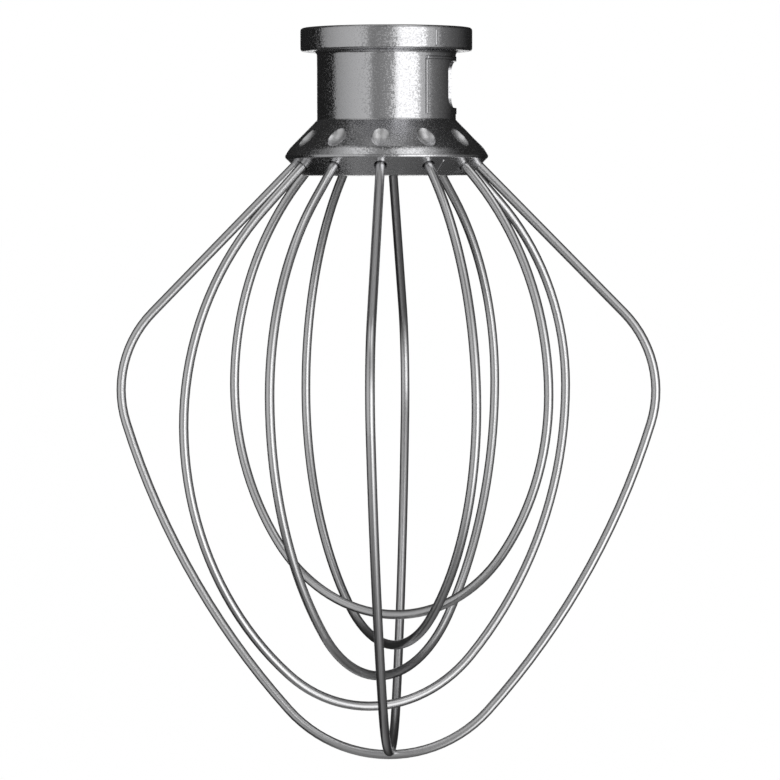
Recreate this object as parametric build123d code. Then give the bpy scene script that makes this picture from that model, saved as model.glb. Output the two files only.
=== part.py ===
from build123d import *
from math import asin, atan2, cos, pi, radians, sin, sqrt, tan
import os

# Stand mixer wire whisk, in millimetres and degrees.
# The origin is the middle of the shaft bore's mouth, on the hub's top face. +Z points up along the
# shaft, so the whisk hangs below the origin. +X points through the bayonet window.

# Hub casting
flange_diameter = 37.0
flange_thickness = 5.0
flange_edge_radius = 0.6
neck_diameter = 29.9
neck_length = 14.7
neck_fillet = 1.0           # under the flange
cone_angle = 44.5           # between the cone's side and the axis
cone_fillet = 0.6           # where the cone leaves the neck
rim_diameter = 44.8         # at the sharp corner, before the rim is rounded
rim_nose_radius = 0.6
rim_land_width = 2.0        # of the steeper band along the cone's lower edge
rim_land_lean = 14.0        # between the band and the cone
rim_land_blend = 5.0
socket_face_width = 6.2     # underside of the rim, square to the cone
base_edge_radius = 0.5

# Shaft bore and bayonet for the shaft's cross pin
shaft_diameter = 12.7
bore_clearance = 0.1
bore_floor = 4.7
bore_chamfer = 0.4
pin_diameter = 4.8
pin_clearance = 0.4
pin_reach = 11.1            # from the axis to the pin's end
lock_turn = 29.0            # between the pin's way in and its locked place
window_drop = 2.2           # below the flange
window_height = 10.0
window_corner = 2.4

# Witness of the side core that forms the window
core_mark_height = 0.15
core_mark_margin = 1.2      # left clear at the top and bottom of the neck
core_mark_turn = 104.0

# Wire and its sockets
wire_diameter = 2.0
socket_clearance = 0.05
socket_depth = 8.0
socket_cover = 2.3          # metal between a socket and the cone's face
socket_countersink = 0.4
wire_end_gap = 0.05         # between a wire's end and its socket's floor

# Stake dimples, pressed into the cone over the sockets
dimple_length = 5.4
dimple_width = 4.3
dimple_depth = 0.95
dimple_from_rim = 5.1       # along the cone, to the dimple's middle

# Two wide loops: a long straight run, a tight shoulder, a nearly straight flank and a round tip
wide_belly = 57.9           # from the axis to the wire's centreline
wide_shoulder_radius = 24.0
wide_flank_radius = 168.0
wide_tip_radius = 29.0
wide_tip_depth = 157.2      # from the origin to the lower wide loop's centreline
wide_crossing_gap = 0.1     # between the two wide loops where they cross
upper_wide_lean = 0.4       # of the upper wide loop out of its plane, towards +X at the tip
upper_wide_tip_shift = 5.0  # towards the far side

# Four oval loops, nested above the wide ones, from the lowest to the highest
first_oval_belly = 44.0
first_oval_far_belly = 47.8
first_oval_run = 10.5       # straight wire below the socket's mouth
first_oval_far_run = 13.0
first_oval_fullness = 0.69  # tip radius as a share of the belly
first_oval_tip_depth = 146.4
first_oval_tip_shift = 2.6  # towards the far side
second_oval_belly = 43.7
second_oval_run = 10.0
second_oval_fullness = 0.74
second_oval_tip_depth = 139.8
third_oval_belly = 41.6
third_oval_run = 2.5
third_oval_fullness = 0.75
third_oval_tip_depth = 133.1
fourth_oval_belly = 40.8
fourth_oval_run = 2.5
fourth_oval_fullness = 0.9
fourth_oval_tip_depth = 126.6

# Sizes that follow from the ones above
overrun = 5.0               # how far a cutter stands out of what it cuts
slope_out = sin(radians(cone_angle))
slope_down = cos(radians(cone_angle))
flange_radius = flange_diameter / 2
neck_radius = neck_diameter / 2
neck_bottom = -flange_thickness - neck_length
rim = Vector(rim_diameter / 2, neck_bottom - (rim_diameter / 2 - neck_radius) / tan(radians(cone_angle)))
down_slope = Vector(slope_out, -slope_down)
off_slope = Vector(slope_down, slope_out)
base_corner = rim - off_slope * socket_face_width
bore_radius = shaft_diameter / 2 + bore_clearance
bore_bottom = base_corner.Y + bore_floor
pin_slot = pin_diameter + 2 * pin_clearance
wire_radius = wire_diameter / 2
socket_radius = wire_radius + socket_clearance
socket_mouth = rim - off_slope * (socket_cover + socket_radius)
wire_end = socket_mouth - down_slope * (socket_depth - wire_end_gap)


def corner(shape, point):
    return shape.vertices().sort_by_distance((point.X, point.Y, 0))[0]


def hub_body():
    flange_top = Vector(flange_radius, 0)
    flange_bottom = Vector(flange_radius, -flange_thickness)
    neck_top = Vector(neck_radius, -flange_thickness)
    cone_top = Vector(neck_radius, neck_bottom)
    land_top = rim - down_slope * rim_land_width
    land_bottom = rim - off_slope * (rim_land_width * tan(radians(rim_land_lean)))
    base_middle = Vector(0, base_corner.Y)
    upper = [Vector(0, 0), flange_top, flange_bottom, neck_top, cone_top]
    lower = [land_top, land_bottom, base_corner, base_middle]
    profile = make_face(Polyline(*upper, *lower, close=True))
    rounds = (
        (flange_top, flange_edge_radius),
        (flange_bottom, flange_edge_radius),
        (neck_top, neck_fillet),
        (cone_top, cone_fillet),
        (land_top, rim_land_blend),
        (land_bottom, rim_nose_radius),
        (base_corner, base_edge_radius),
    )
    for point, radius in rounds:
        profile = fillet(corner(profile, point), radius)
    return revolve(Plane.XZ * profile, Axis.Z)


def core_mark():
    height = neck_length - 2 * core_mark_margin
    strip = Pos(neck_radius, -flange_thickness - core_mark_margin) * Rectangle(
        2 * core_mark_height, height, align=(Align.CENTER, Align.MAX)
    )
    return Rot(0, 0, -core_mark_turn / 2) * revolve(Plane.XZ * strip, Axis.Z, core_mark_turn)


def shaft_bore():
    bore = Cylinder(bore_radius, -bore_bottom, align=(Align.CENTER, Align.CENTER, Align.MAX))
    mouth = Cone(
        bore_radius, bore_radius + bore_chamfer, bore_chamfer, align=(Align.CENTER, Align.CENTER, Align.MAX)
    )
    return bore + mouth


def pin_keyway():
    depth = flange_thickness + window_drop + window_height / 2
    slot = Box(
        pin_reach + pin_clearance, pin_slot, depth + overrun, align=(Align.MIN, Align.CENTER, Align.MIN)
    )
    return Rot(0, 0, lock_turn / 2) * Pos(0, 0, -depth) * slot


def bayonet_window():
    turn = radians(lock_turn / 2)
    along = Vector(cos(turn), sin(turn))
    side = Vector(-sin(turn), cos(turn)) * (pin_slot / 2)
    inner = along * (bore_radius / 2) + side
    outer = along * (neck_radius + overrun) + side
    right_side = [Vector(point.X, -point.Y) for point in (inner, outer)]
    plan = make_face(Polyline(*right_side, outer, inner, close=True))
    bottom = -flange_thickness - window_drop - window_height
    block = Pos(0, 0, bottom) * extrude(plan, window_height)
    level = block.edges().filter_by(Plane.XY)
    return fillet(level - level.filter_by(Axis.Y), window_corner)


def wire_socket():
    mouth = Plane((socket_mouth.X, 0, socket_mouth.Y), z_dir=(down_slope.X, 0, down_slope.Y))
    hole = Cylinder(socket_radius, socket_depth + overrun, align=(Align.CENTER, Align.CENTER, Align.MIN))
    countersink = Cone(socket_radius, socket_radius + 2 * socket_countersink, 2 * socket_countersink)
    return mouth * (Pos(0, 0, -socket_depth) * hole + countersink)


def stake_dimple():
    # A lemon-shaped punch, lying along the cone and sunk by the dimple's depth.
    punch_radius = ((dimple_width / 2) ** 2 + dimple_depth**2) / (2 * dimple_depth)
    side_radius = ((dimple_length / 2) ** 2 + dimple_depth**2) / (2 * dimple_depth)
    half_length = sqrt(side_radius**2 - (side_radius - punch_radius) ** 2)
    middle = rim - down_slope * dimple_from_rim + off_slope * (punch_radius - dimple_depth)
    lie = Plane(
        (middle.X, 0, middle.Y), x_dir=(down_slope.X, 0, down_slope.Y), z_dir=(0, -1, 0)
    )
    side = ThreePointArc((-half_length, 0), (0, punch_radius), (half_length, 0))
    half = make_face([side, Line((half_length, 0), (-half_length, 0))])
    return revolve(lie * half, Axis(lie.origin, lie.x_dir))


def hub():
    body = hub_body() + core_mark()
    sockets = [place * wire_socket() for place in around]
    dimples = [place * stake_dimple() for place in around]
    return body - [shaft_bore(), pin_keyway(), bayonet_window(), *sockets, *dimples]


def arc_stations(middle, radius, start, end):
    # The halfway point and the end point of an arc, with angles in radians.
    return [middle + Vector(cos(angle), sin(angle)) * radius for angle in ((start + end) / 2, end)]


def bearing(start, end):
    return atan2(end.Y - start.Y, end.X - start.X)


def wide_half(tip_depth, tip_shift):
    # Points that a wide loop passes from its end in the socket to its tip, as (radius, height).
    exit_angle = radians(cone_angle)
    shoulder_reach = wide_shoulder_radius * (1 - cos(exit_angle))
    run_end = socket_mouth + down_slope * ((wide_belly - shoulder_reach - socket_mouth.X) / slope_out)
    shoulder = run_end - off_slope * wide_shoulder_radius
    tip = Vector(tip_shift, wide_tip_radius - tip_depth)
    # The flank's circle touches both the shoulder's and the tip's from outside them.
    from_shoulder = wide_flank_radius - wide_shoulder_radius
    from_tip = wide_flank_radius - wide_tip_radius
    span = (tip - shoulder).length
    along = (from_shoulder**2 - from_tip**2 + span**2) / (2 * span)
    towards_tip = (tip - shoulder) * (1 / span)
    inwards = Vector(towards_tip.Y, -towards_tip.X)
    flank = shoulder + towards_tip * along + inwards * sqrt(from_shoulder**2 - along**2)
    flank_start = bearing(flank, shoulder)
    flank_end = bearing(flank, tip)
    return [
        wire_end,
        run_end,
        *arc_stations(shoulder, wide_shoulder_radius, exit_angle, flank_start),
        *arc_stations(flank, wide_flank_radius, flank_start, flank_end),
        *arc_stations(tip, wide_tip_radius, flank_end, -pi / 2),
    ]


def oval_half(belly, run, tip_radius, tip_depth, tip_shift=0.0):
    # The same for an oval loop, whose shoulder and flank meet at the belly.
    exit_angle = radians(cone_angle)
    run_end = socket_mouth + down_slope * run
    shoulder_radius = (belly - run_end.X) / (1 - cos(exit_angle))
    shoulder = run_end - off_slope * shoulder_radius
    rise = shoulder.Y + tip_depth
    width = belly - tip_shift
    flank_radius = (width**2 + rise**2 - 2 * rise * tip_radius) / (2 * (width - tip_radius))
    flank = Vector(belly - flank_radius, shoulder.Y)
    tip = Vector(tip_shift, tip_radius - tip_depth)
    flank_end = bearing(flank, tip)
    return [
        wire_end,
        run_end,
        *arc_stations(shoulder, shoulder_radius, exit_angle, 0),
        *arc_stations(flank, flank_radius, 0, flank_end),
        *arc_stations(tip, tip_radius, flank_end, -pi / 2),
    ]


def half_edges(stations):
    points = [(station.X, 0, station.Y) for station in stations]
    arcs = zip(points[1::2], points[2::2], points[3::2])
    return [Line(points[0], points[1]), *(ThreePointArc(*arc) for arc in arcs)]


def bent_wire(near_half, far_half):
    far_side = [Vector(-station.X, station.Y) for station in far_half]
    path = Wire(half_edges(near_half) + half_edges(far_side))
    section = Plane(path @ 0, z_dir=path % 0) * Circle(wire_radius)
    return sweep(section, path)


def wide_wire(tip_depth, tip_shift=0.0):
    # The tip may lean towards the far half.
    return bent_wire(wide_half(tip_depth, -tip_shift), wide_half(tip_depth, tip_shift))


def upper_wide_wire():
    # It crosses the lower wide loop on the axis, where its own tip has begun to rise.
    slope = asin(upper_wide_tip_shift / wide_tip_radius)
    crossing_depth = wide_tip_depth - (wire_diameter + wide_crossing_gap) / cos(slope)
    tip_depth = crossing_depth + wide_tip_radius * (1 - cos(slope))
    loop = wide_wire(tip_depth, upper_wide_tip_shift)
    # The loop leans about the line through its two socket mouths.
    return loop.rotate(Axis((0, 0, socket_mouth.Y), (-1, 0, 0)), upper_wide_lean)


def oval_wire(belly, run, fullness, tip_depth):
    half = oval_half(belly, run, fullness * belly, tip_depth)
    return bent_wire(half, half)


def first_oval_wire():
    # The one uneven oval: its tip leans towards its fuller far half.
    tip_radius = first_oval_fullness * (first_oval_belly + first_oval_far_belly) / 2
    tip = (tip_radius, first_oval_tip_depth)
    near_half = oval_half(first_oval_belly, first_oval_run, *tip, -first_oval_tip_shift)
    far_half = oval_half(first_oval_far_belly, first_oval_far_run, *tip, first_oval_tip_shift)
    return bent_wire(near_half, far_half)


# Each loop lies in its own plane through the axis. The planes are evenly turned, in this order, and the
# loops cross one above the other.
loops = {
    "lower_wide_wire": wide_wire(wide_tip_depth),
    "first_oval_wire": first_oval_wire(),
    "second_oval_wire": oval_wire(
        second_oval_belly, second_oval_run, second_oval_fullness, second_oval_tip_depth
    ),
    "upper_wide_wire": upper_wide_wire(),
    "third_oval_wire": oval_wire(
        third_oval_belly, third_oval_run, third_oval_fullness, third_oval_tip_depth
    ),
    "fourth_oval_wire": oval_wire(
        fourth_oval_belly, fourth_oval_run, fourth_oval_fullness, fourth_oval_tip_depth
    ),
}
around = PolarLocations(0, 2 * len(loops))

os.makedirs("parts", exist_ok=True)
export_step(hub(), "parts/hub.step")
for place, (name, wire) in zip(around, loops.items()):
    export_step(place * wire, f"parts/{name}.step")
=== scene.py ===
import bmesh
import bpy
import math
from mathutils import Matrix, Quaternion, Vector
from mathutils.bvhtree import BVHTree


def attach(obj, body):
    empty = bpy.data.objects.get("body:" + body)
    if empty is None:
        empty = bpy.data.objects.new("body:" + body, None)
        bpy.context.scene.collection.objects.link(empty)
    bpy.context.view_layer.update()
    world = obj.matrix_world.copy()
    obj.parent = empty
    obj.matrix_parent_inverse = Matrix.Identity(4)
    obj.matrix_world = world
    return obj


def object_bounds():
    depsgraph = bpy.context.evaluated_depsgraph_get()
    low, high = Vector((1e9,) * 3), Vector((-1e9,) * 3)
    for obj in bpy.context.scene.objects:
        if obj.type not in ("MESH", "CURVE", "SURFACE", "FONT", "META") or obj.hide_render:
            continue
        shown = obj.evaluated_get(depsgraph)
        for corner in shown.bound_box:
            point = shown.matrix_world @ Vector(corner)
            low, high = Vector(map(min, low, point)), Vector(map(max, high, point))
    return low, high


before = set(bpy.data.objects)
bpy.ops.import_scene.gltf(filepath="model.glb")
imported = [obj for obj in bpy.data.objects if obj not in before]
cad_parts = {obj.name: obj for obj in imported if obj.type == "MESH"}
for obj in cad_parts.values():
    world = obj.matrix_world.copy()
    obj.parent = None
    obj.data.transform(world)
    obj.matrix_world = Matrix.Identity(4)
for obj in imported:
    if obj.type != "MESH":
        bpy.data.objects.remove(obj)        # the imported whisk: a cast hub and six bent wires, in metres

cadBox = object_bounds()
scene = bpy.context.scene
scene.view_settings.view_transform = "Standard"
mm = 0.001
photoSize = 780          # the picture is square, in pixels
sensorWidth = 36.0       # Blender's own default, in millimetres
print("frame loaded:", ", ".join(sorted(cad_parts)))


# Colours are written as sRGB hex, as a paint program shows them
def linear(hexColour):
    channels = [int(hexColour[i:i + 2], 16) / 255 for i in (1, 3, 5)]
    return tuple(c / 12.92 if c <= 0.04045 else ((c + 0.055) / 1.055) ** 2.4 for c in channels) + (1.0,)


# Adds a node to a material or world, with its settings, input values and links
def addNode(tree, kind, settings={}, values={}, links={}):
    node = tree.nodes.new(kind)
    for name, value in settings.items():
        setattr(node, name, value)
    for name, value in values.items():
        node.inputs[name].default_value = value
    for name, socket in links.items():
        tree.links.new(socket, node.inputs[name])
    return node


def emptyTree(owner):
    owner.use_nodes = True
    owner.node_tree.nodes.clear()
    return owner.node_tree


def fillRamp(ramp, stops):
    elements = ramp.color_ramp.elements
    while len(elements) > 1:
        elements.remove(elements[0])
    for index, (place, level) in enumerate(stops):
        element = elements[0] if index == 0 else elements.new(place)
        element.position = place
        element.color = (level, level, level, 1.0)


# Camera, as the photograph was taken: level with the hub's base and a little to the right of the
# lower wide loop's square view
view = {
    "azimuth": math.radians(3.72),
    "distance": 806 * mm,
    "height": -36.8 * mm,
    "tilt": math.radians(-2.92),
    "sideStep": 0.6 * mm,
    "roll": math.radians(-0.15),
    "pixelsPerMm": 4.633,     # at the whisk's axis
    "clip": (0.05, 100),      # nearest and farthest that it sees, in metres
}
right = Vector((math.cos(view["azimuth"]), math.sin(view["azimuth"]), 0))
ahead = Vector((-math.sin(view["azimuth"]), math.cos(view["azimuth"]), 0))
up = Vector((0, 0, 1))


def addCamera():
    data = bpy.data.cameras.new("camera")
    data.sensor_width = sensorWidth
    data.lens = view["pixelsPerMm"] * view["distance"] / mm / photoSize * sensorWidth
    data.clip_start, data.clip_end = view["clip"]
    camera = bpy.data.objects.new("camera", data)
    camera.location = -ahead * view["distance"] + right * view["sideStep"] + up * view["height"]
    aim = ahead * math.cos(view["tilt"]) + up * math.sin(view["tilt"])
    camera.rotation_mode = "QUATERNION"
    camera.rotation_quaternion = aim.to_track_quat("-Z", "Y") @ Quaternion((0, 0, 1), view["roll"])
    scene.collection.objects.link(camera)
    scene.camera = camera


addCamera()
print("camera in place")


# Studio: a white sweep behind the whisk, a bright softbox to the right of the camera, a wide grey
# panel to its left, softer panels above both, a dim ceiling and a sheet of paper below. The rest is
# dark, which draws a thin dark line round each wire. Bearings are in degrees from the camera, positive
# to its right; heights are sines of the elevation, and sides are cosines from the camera's right.
studio = {
    "leftPanels": [           # bearing and brightness
        (-180, 0.02), (-98, 0.02), (-94, 0.42), (-75, 0.58), (-60, 0.68), (-45, 0.76), (-29, 0.82),
        (-24, 0.31), (-10, 0.34), (0, 0.4), (8, 0.5), (12, 0.56), (16, 0.0), (180, 0.0),
    ],
    "leftHeights": [          # height and share of the panels' brightness
        (-1.0, 0.0), (-0.82, 0.02), (-0.72, 0.15), (-0.58, 0.55), (-0.4, 1.0), (0.25, 1.0), (0.42, 0.6),
        (0.58, 0.1), (0.7, 0.0), (1.0, 0.0),
    ],
    "rightPanels": [
        (-180, 0.0), (12, 0.0), (16, 2.1), (52, 2.1), (56, 0.8), (72, 0.72), (78, 0.25), (90, 0.2),
        (100, 0.15), (118, 0.08), (138, 0.02), (180, 0.02),
    ],
    "rightHeights": [
        (-1.0, 0.0), (-0.93, 0.05), (-0.8, 0.25), (-0.62, 0.7), (-0.45, 1.0), (0.1, 1.0), (0.25, 0.7),
        (0.38, 0.35), (0.5, 0.0), (1.0, 0.0),
    ],
    "upperPanels": [
        (-180, 0.02), (-118, 0.02), (-100, 0.3), (-84, 0.52), (-57, 0.85), (-34, 0.78), (-22, 0.34),
        (-8, 0.27), (9, 0.3), (24, 1.27), (48, 1.38), (66, 0.85), (82, 0.46), (98, 0.16), (112, 0.02),
        (180, 0.02),
    ],
    "upperHeights": [
        (-1.0, 0.0), (0.3, 0.0), (0.45, 0.36), (0.7, 0.66), (0.8, 1.0), (0.85, 1.25), (0.9, 1.25),
        (0.96, 0.12), (1.0, 0.0),
    ],
    "ceilingTilt": 8.0,       # degrees from the zenith, away from the camera
    "ceiling": [              # cosine from its middle and brightness
        (-1.0, 0.0), (0.3, 0.0), (0.5, 0.02), (0.8, 0.025), (0.91, 0.05), (0.955, 0.14), (0.98, 0.34),
        (0.99, 0.6), (1.0, 0.7),
    ],
    "tableSides": [           # side and brightness
        (-1.0, 0.0), (-0.5, 0.02), (-0.44, 0.05), (-0.37, 0.3), (-0.3, 0.3), (-0.1, 0.22), (0.1, 0.19),
        (0.27, 0.15), (0.36, 0.1), (0.5, 0.08), (0.7, 0.05), (1.0, 0.03),
    ],
    "tableHeights": [
        (-1.0, 1.0), (-0.75, 1.0), (-0.6, 0.3), (-0.5, 0.0), (1.0, 0.0),
    ],
    "sweepHalfWidth": 9.0,    # degrees of the white sweep that the metal can see behind the whisk
    "floorDrop": 120 * mm,    # below the whisk's tip, which hangs free
    "floorSize": 40.0,
    "floorColour": "#f2f2f2",
    "floorGlow": 1.12,        # of the white that the camera sees
    "floorShare": 0.86,       # of that white; the rest is paint, which takes the whisk's shadow
}


# 1 for rays from the camera, and for rays that metal mirrors or that pass through something, these
# only where metalShare is 1
def seenDirectly(tree, metalShare=None):
    path = addNode(tree, "ShaderNodeLightPath")
    through = addNode(tree, "ShaderNodeMath", {"operation": "MAXIMUM"},
                      links={0: path.outputs["Is Glossy Ray"], 1: path.outputs["Is Transmission Ray"]})
    mirrored = through.outputs[0]
    if metalShare:
        share = addNode(tree, "ShaderNodeMath", {"operation": "MULTIPLY"},
                        links={0: mirrored, 1: metalShare})
        mirrored = share.outputs[0]
    seen = addNode(tree, "ShaderNodeMath", {"operation": "MAXIMUM"},
                   links={0: path.outputs["Is Camera Ray"], 1: mirrored})
    return seen.outputs[0]


def lightRoom():
    world = bpy.data.worlds.new("studio room")
    scene.world = world
    tree = emptyTree(world)
    direction = addNode(tree, "ShaderNodeTexCoord").outputs["Generated"]

    def along(axis):
        dot = addNode(tree, "ShaderNodeVectorMath", {"operation": "DOT_PRODUCT"}, {1: axis},
                      {0: direction})
        return dot.outputs["Value"]

    def ramp(source, stops):
        node = addNode(tree, "ShaderNodeValToRGB", links={"Fac": source})
        fillRamp(node, stops)
        return node.outputs["Color"]

    bearing = addNode(tree, "ShaderNodeMath", {"operation": "ARCTAN2"},
                      links={0: along(right), 1: along(-ahead)})
    turn = addNode(tree, "ShaderNodeMath", {"operation": "MULTIPLY_ADD"}, {1: 0.5 / math.pi, 2: 0.5},
                   {0: bearing.outputs[0]})

    def byCosine(axis, stops):
        share = addNode(tree, "ShaderNodeMath", {"operation": "MULTIPLY_ADD"}, {1: 0.5, 2: 0.5},
                        {0: along(axis)})
        return ramp(share.outputs[0], [(cosine / 2 + 0.5, level) for cosine, level in stops])

    def byBearing(stops):
        return ramp(turn.outputs[0], [(angle / 360 + 0.5, level) for angle, level in stops])

    def combine(operation, one, other):
        result = addNode(tree, "ShaderNodeMath", {"operation": operation}, links={0: one, 1: other})
        return result.outputs[0]

    tilt = math.radians(studio["ceilingTilt"])
    light = byCosine(up * math.cos(tilt) + ahead * math.sin(tilt), studio["ceiling"])
    for source, heights in (
            (byBearing(studio["leftPanels"]), "leftHeights"),
            (byBearing(studio["rightPanels"]), "rightHeights"),
            (byBearing(studio["upperPanels"]), "upperHeights"),
            (byCosine(right, studio["tableSides"]), "tableHeights")):
        light = combine("ADD", light, combine("MULTIPLY", source, byCosine(up, studio[heights])))
    roomLight = addNode(tree, "ShaderNodeBackground", links={"Strength": light})
    sweep = addNode(tree, "ShaderNodeBackground", {}, {"Color": linear("#ffffff"), "Strength": 1.0})
    inSweep = addNode(tree, "ShaderNodeMath", {"operation": "GREATER_THAN"},
                      {1: math.cos(math.radians(studio["sweepHalfWidth"]))}, {0: along(ahead)})
    mix = addNode(tree, "ShaderNodeMixShader", links={
        0: seenDirectly(tree, inSweep.outputs[0]), 1: roomLight.outputs[0], 2: sweep.outputs[0]})
    addNode(tree, "ShaderNodeOutputWorld", links={"Surface": mix.outputs[0]})


def flatSheet(name, size, height):
    half = size / 2
    mesh = bpy.data.meshes.new(name)
    corners = [(-half, -half, 0), (half, -half, 0), (half, half, 0), (-half, half, 0)]
    mesh.from_pydata(corners, [], [(0, 1, 2, 3)])
    sheet = bpy.data.objects.new(name, mesh)
    sheet.location.z = height
    scene.collection.objects.link(sheet)
    return sheet


def paleFloor():
    material = bpy.data.materials.new("pale studio floor")
    tree = emptyTree(material)
    paint = addNode(tree, "ShaderNodeBsdfDiffuse", {}, {"Color": linear(studio["floorColour"])})
    white = addNode(tree, "ShaderNodeEmission", {}, {
        "Color": linear("#ffffff"), "Strength": studio["floorGlow"]})
    share = addNode(tree, "ShaderNodeMath", {"operation": "MULTIPLY"}, {1: studio["floorShare"]},
                    {0: seenDirectly(tree)})
    mix = addNode(tree, "ShaderNodeMixShader", links={
        0: share.outputs[0], 1: paint.outputs[0], 2: white.outputs[0]})
    addNode(tree, "ShaderNodeOutputMaterial", links={"Surface": mix.outputs[0]})
    return material


def layFloor():
    floor = flatSheet("floor", studio["floorSize"], cadBox[0].z - studio["floorDrop"])
    floor.data.materials.append(paleFloor())
    floor.visible_glossy = False    # the metal mirrors the sheet of paper in the room's light instead


lightRoom()
layFloor()
print("studio lit")


# Die cast aluminium alloy, burnished by tumbling with stones: bright lands between fine matt pits,
# which speckle the dark reflections and roughen the edges of the light ones
castHub = {
    "colour": "#d2d2d4",
    "landRoughness": 0.12,
    "pitRoughness": 0.36,
    "pitSize": 0.34 * mm,
    "pitDetail": 1.0,
    "pitShare": (0.46, 0.64),   # of the noise, from bare land to full pit
    "pitTilt": 0.2,             # how far the noise tilts the skin's normal
    "waveSize": 2.5 * mm,
    "waveDetail": 2.0,
    "waveHeight": 0.02 * mm,
    # painted shade: the dark grey below is mixed into the base colour in corners and hollows by ambient
    # occlusion
    "paintedShadeColour": "#3a3a3b",
    "paintedShadeReach": 0.9 * mm,
    "paintedShadeSamples": 8,
    "paintedShadeShare": (0.25, 0.6),            # of the open sky, from dark corner to bright skin
    # painted highlight: the near white below lightens the dimples' base colour
    "punchHighlightColour": "#f0f0f1",               # in the dimples
    "punchRoughness": 0.4,
    "punchDepth": (0.1 * mm, 0.3 * mm),     # under the cone, from its skin to full punch mark
    "punchEnd": (-25.6 * mm, -25.4 * mm),   # heights where the marks fade, near the rim
    "coneTop": (14.95 * mm, -19.7 * mm),    # distance from the axis and height
    "coneSpread": math.tan(math.radians(44.5)),     # distance gained per height lost
}


def castAluminium():
    material = bpy.data.materials.new("die cast aluminium, tumbled")
    tree = emptyTree(material)
    place = addNode(tree, "ShaderNodeTexCoord").outputs["Object"]
    waves = addNode(tree, "ShaderNodeTexNoise", {}, {
        "Scale": 1 / castHub["waveSize"], "Detail": castHub["waveDetail"]}, {"Vector": place})
    bump = addNode(tree, "ShaderNodeBump", {}, {"Strength": 1.0, "Distance": castHub["waveHeight"]},
                   {"Height": waves.outputs["Fac"]})
    pits = addNode(tree, "ShaderNodeTexNoise", {}, {
        "Scale": 1 / castHub["pitSize"], "Detail": castHub["pitDetail"]}, {"Vector": place})
    turned = addNode(tree, "ShaderNodeVectorMath", {"operation": "SUBTRACT"}, {1: (0.5, 0.5, 0.5)},
                     {0: pits.outputs["Color"]})
    tilt = addNode(tree, "ShaderNodeVectorMath", {"operation": "MULTIPLY_ADD"},
                   {1: (castHub["pitTilt"],) * 3}, {0: turned.outputs[0], 2: bump.outputs["Normal"]})
    normal = addNode(tree, "ShaderNodeVectorMath", {"operation": "NORMALIZE"},
                     links={0: tilt.outputs[0]})
    matt = addNode(tree, "ShaderNodeMapRange", {}, {
        "From Min": castHub["pitShare"][0], "From Max": castHub["pitShare"][1],
        "To Min": castHub["landRoughness"], "To Max": castHub["pitRoughness"]},
        {"Value": pits.outputs["Fac"]})
    # the punch leaves matt metal in the dimples, which gathers the panels into one soft light; their base
    # colour is also lightened, a painted highlight
    fromAxis = addNode(tree, "ShaderNodeVectorMath", {"operation": "MULTIPLY"}, {1: (1, 1, 0)},
                       {0: place})
    reach = addNode(tree, "ShaderNodeVectorMath", {"operation": "LENGTH"},
                    links={0: fromAxis.outputs[0]})
    level = addNode(tree, "ShaderNodeSeparateXYZ", links={0: place}).outputs["Z"]
    cone = addNode(tree, "ShaderNodeMath", {"operation": "MULTIPLY_ADD"}, {
        1: -castHub["coneSpread"],
        2: castHub["coneTop"][0] + castHub["coneSpread"] * castHub["coneTop"][1]}, {0: level})
    under = addNode(tree, "ShaderNodeMath", {"operation": "SUBTRACT"},
                    links={0: cone.outputs[0], 1: reach.outputs["Value"]})
    sunk = addNode(tree, "ShaderNodeMapRange", {}, {
        "From Min": castHub["punchDepth"][0], "From Max": castHub["punchDepth"][1]},
        {"Value": under.outputs[0]})
    above = addNode(tree, "ShaderNodeMapRange", {}, {
        "From Min": castHub["punchEnd"][0], "From Max": castHub["punchEnd"][1]}, {"Value": level})
    punched = addNode(tree, "ShaderNodeMath", {"operation": "MULTIPLY"},
                      links={0: sunk.outputs["Result"], 1: above.outputs["Result"]})
    # a Mix node's sockets go by number: 0 is the share, 2 and 3 are values, 6 and 7 are colours
    skin = addNode(tree, "ShaderNodeMix", {}, {3: castHub["punchRoughness"]},
                   {0: punched.outputs[0], 2: matt.outputs["Result"]})
    # painted shade: the base colour darkens towards a dark grey in corners and hollows, such as the
    # socket mouths and dimple edges, where the ambient occlusion finds little open sky
    sky = addNode(tree, "ShaderNodeAmbientOcclusion", {"samples": castHub["paintedShadeSamples"]},
                  {"Distance": castHub["paintedShadeReach"]})
    litShare = addNode(tree, "ShaderNodeMapRange", {}, {
        "From Min": castHub["paintedShadeShare"][0], "From Max": castHub["paintedShadeShare"][1]},
        {"Value": sky.outputs["AO"]})
    tone = addNode(tree, "ShaderNodeMix", {"data_type": "RGBA"}, {
        6: linear(castHub["paintedShadeColour"]), 7: linear(castHub["colour"])},
        {0: litShare.outputs["Result"]})
    # painted highlight: the dimples' base colour is mixed towards near white
    dimpleHighlight = addNode(tree, "ShaderNodeMix", {"data_type": "RGBA"}, {7: linear(castHub["punchHighlightColour"])},
                    {0: punched.outputs[0], 6: tone.outputs[2]})
    metal = addNode(tree, "ShaderNodeBsdfPrincipled", {}, {"Metallic": 1.0}, {
        "Base Color": dimpleHighlight.outputs[2], "Roughness": skin.outputs[0], "Normal": normal.outputs[0]})
    addNode(tree, "ShaderNodeOutputMaterial", links={"Surface": metal.outputs[0]})
    return material


# Stainless steel wire, cold drawn and lightly polished: a satin skin that softens the panels' edges,
# with a faint unevenness along it
whiskWire = {
    "colour": "#e4e4e5",
    "roughness": 0.28,
    "grainSize": 0.8 * mm,
    "grainDetail": 2.0,
    "grainHeight": 0.0025 * mm,
}


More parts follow.
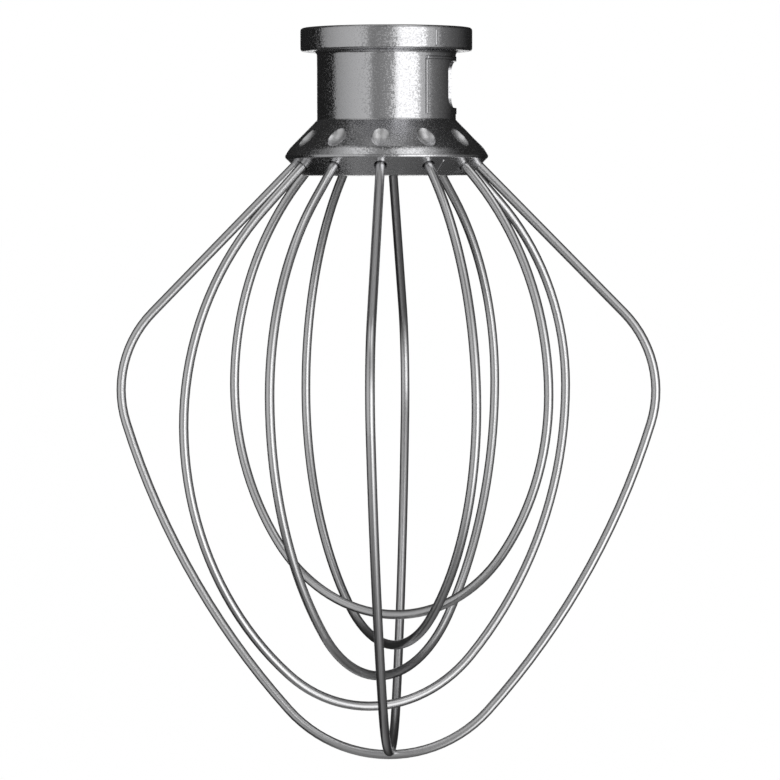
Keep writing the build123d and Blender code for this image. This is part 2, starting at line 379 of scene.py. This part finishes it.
def drawnSteel():
    material = bpy.data.materials.new("stainless steel wire, drawn")
    tree = emptyTree(material)
    place = addNode(tree, "ShaderNodeTexCoord").outputs["Object"]
    grain = addNode(tree, "ShaderNodeTexNoise", {}, {
        "Scale": 1 / whiskWire["grainSize"], "Detail": whiskWire["grainDetail"]}, {"Vector": place})
    bump = addNode(tree, "ShaderNodeBump", {}, {"Strength": 1.0, "Distance": whiskWire["grainHeight"]},
                   {"Height": grain.outputs["Fac"]})
    metal = addNode(tree, "ShaderNodeBsdfPrincipled", {}, {
        "Base Color": linear(whiskWire["colour"]), "Metallic": 1.0,
        "Roughness": whiskWire["roughness"]}, {"Normal": bump.outputs["Normal"]})
    addNode(tree, "ShaderNodeOutputMaterial", links={"Surface": metal.outputs[0]})
    return material


def dress(node, material):
    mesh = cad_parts[node].data
    mesh.materials.clear()
    mesh.materials.append(material)


# Parting flash: the thin line of metal that the die leaves down the flange, the neck and the socket
# face, and the bead it leaves at the top of the window's core
partingFlash = {
    "bearing": -51.4,         # degrees about the axis, from the bayonet window
    "width": 0.45 * mm,
    "height": 0.16 * mm,
    "step": 0.4 * mm,
    "flange": (-0.7 * mm, -4.4 * mm),       # heights of the ends of each run
    "neck": (-6.9 * mm, -18.8 * mm),
    "socketFace": (21.2 * mm, 17.4 * mm),   # distances of its ends from the axis
    "beadLevel": -6.65 * mm,
    "beadWidth": 0.8 * mm,
    "beadHeight": 0.24 * mm,
    "beadEnd": -10.0,         # degrees about the axis
    "corners": 12,            # round the flash's section
    "reach": 60 * mm,         # rays to the casting's skin start this far out
}


# Evenly spaced values from one end to the other
def spread(first, last, step):
    count = max(2, round(abs(last - first) / step))
    return [first + (last - first) * index / count for index in range(count + 1)]


# A low round ridge, half sunk in the skin, along points that each have the way out of it
def addRidge(shape, stations, width, height):
    rings = []
    for index, (point, outward) in enumerate(stations):
        onward = stations[min(index + 1, len(stations) - 1)][0] - stations[max(index - 1, 0)][0]
        aside = outward.cross(onward).normalized()
        count = partingFlash["corners"]
        corners = [2 * math.pi * corner / count for corner in range(count)]
        rings.append([shape.verts.new(point + aside * (width / 2 * math.cos(angle))
                                      + outward * (height * math.sin(angle))) for angle in corners])
    for one, other in zip(rings, rings[1:]):
        for corner in range(len(one)):
            shape.faces.new((one[corner - 1], one[corner], other[corner], other[corner - 1]))
    for end in (rings[0], rings[-1]):
        shape.faces.new(end)


def addFlash(material):
    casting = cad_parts["hub"].data
    skin = BVHTree.FromPolygons([vertex.co for vertex in casting.vertices],
                                [list(polygon.vertices) for polygon in casting.polygons])

    def outFrom(degrees):
        return Vector((math.cos(math.radians(degrees)), math.sin(math.radians(degrees)), 0))

    def fromSide(degrees, height):
        hit = skin.ray_cast(outFrom(degrees) * partingFlash["reach"] + up * height, -outFrom(degrees))
        return hit[0], hit[1]

    def fromBelow(degrees, distance):
        hit = skin.ray_cast(outFrom(degrees) * distance - up * partingFlash["reach"], up)
        return hit[0], hit[1]

    shape = bmesh.new()
    bearing, step = partingFlash["bearing"], partingFlash["step"]
    width, height = partingFlash["width"], partingFlash["height"]
    for run in ("flange", "neck"):
        levels = spread(*partingFlash[run], step)
        addRidge(shape, [fromSide(bearing, level) for level in levels], width, height)
    face = spread(*partingFlash["socketFace"], step)
    addRidge(shape, [fromBelow(bearing, distance) for distance in face], width, height)
    beadStep = math.degrees(step / fromSide(bearing, partingFlash["beadLevel"])[0].xy.length)
    bead = [fromSide(degrees, partingFlash["beadLevel"])
            for degrees in spread(bearing, partingFlash["beadEnd"], beadStep)]
    addRidge(shape, bead, partingFlash["beadWidth"], partingFlash["beadHeight"])
    bmesh.ops.recalc_face_normals(shape, faces=shape.faces)
    for face in shape.faces:
        face.smooth = True
    mesh = bpy.data.meshes.new("parting_flash")
    shape.to_mesh(mesh)
    shape.free()
    mesh.materials.append(material)
    flash = bpy.data.objects.new("parting_flash", mesh)
    scene.collection.objects.link(flash)
    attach(flash, "root")


hubMetal = castAluminium()
dress("hub", hubMetal)
addFlash(hubMetal)
print("hub dressed")
wireMetal = drawnSteel()
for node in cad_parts:
    if node.endswith("_wire"):
        dress(node, wireMetal)
print("wires dressed")
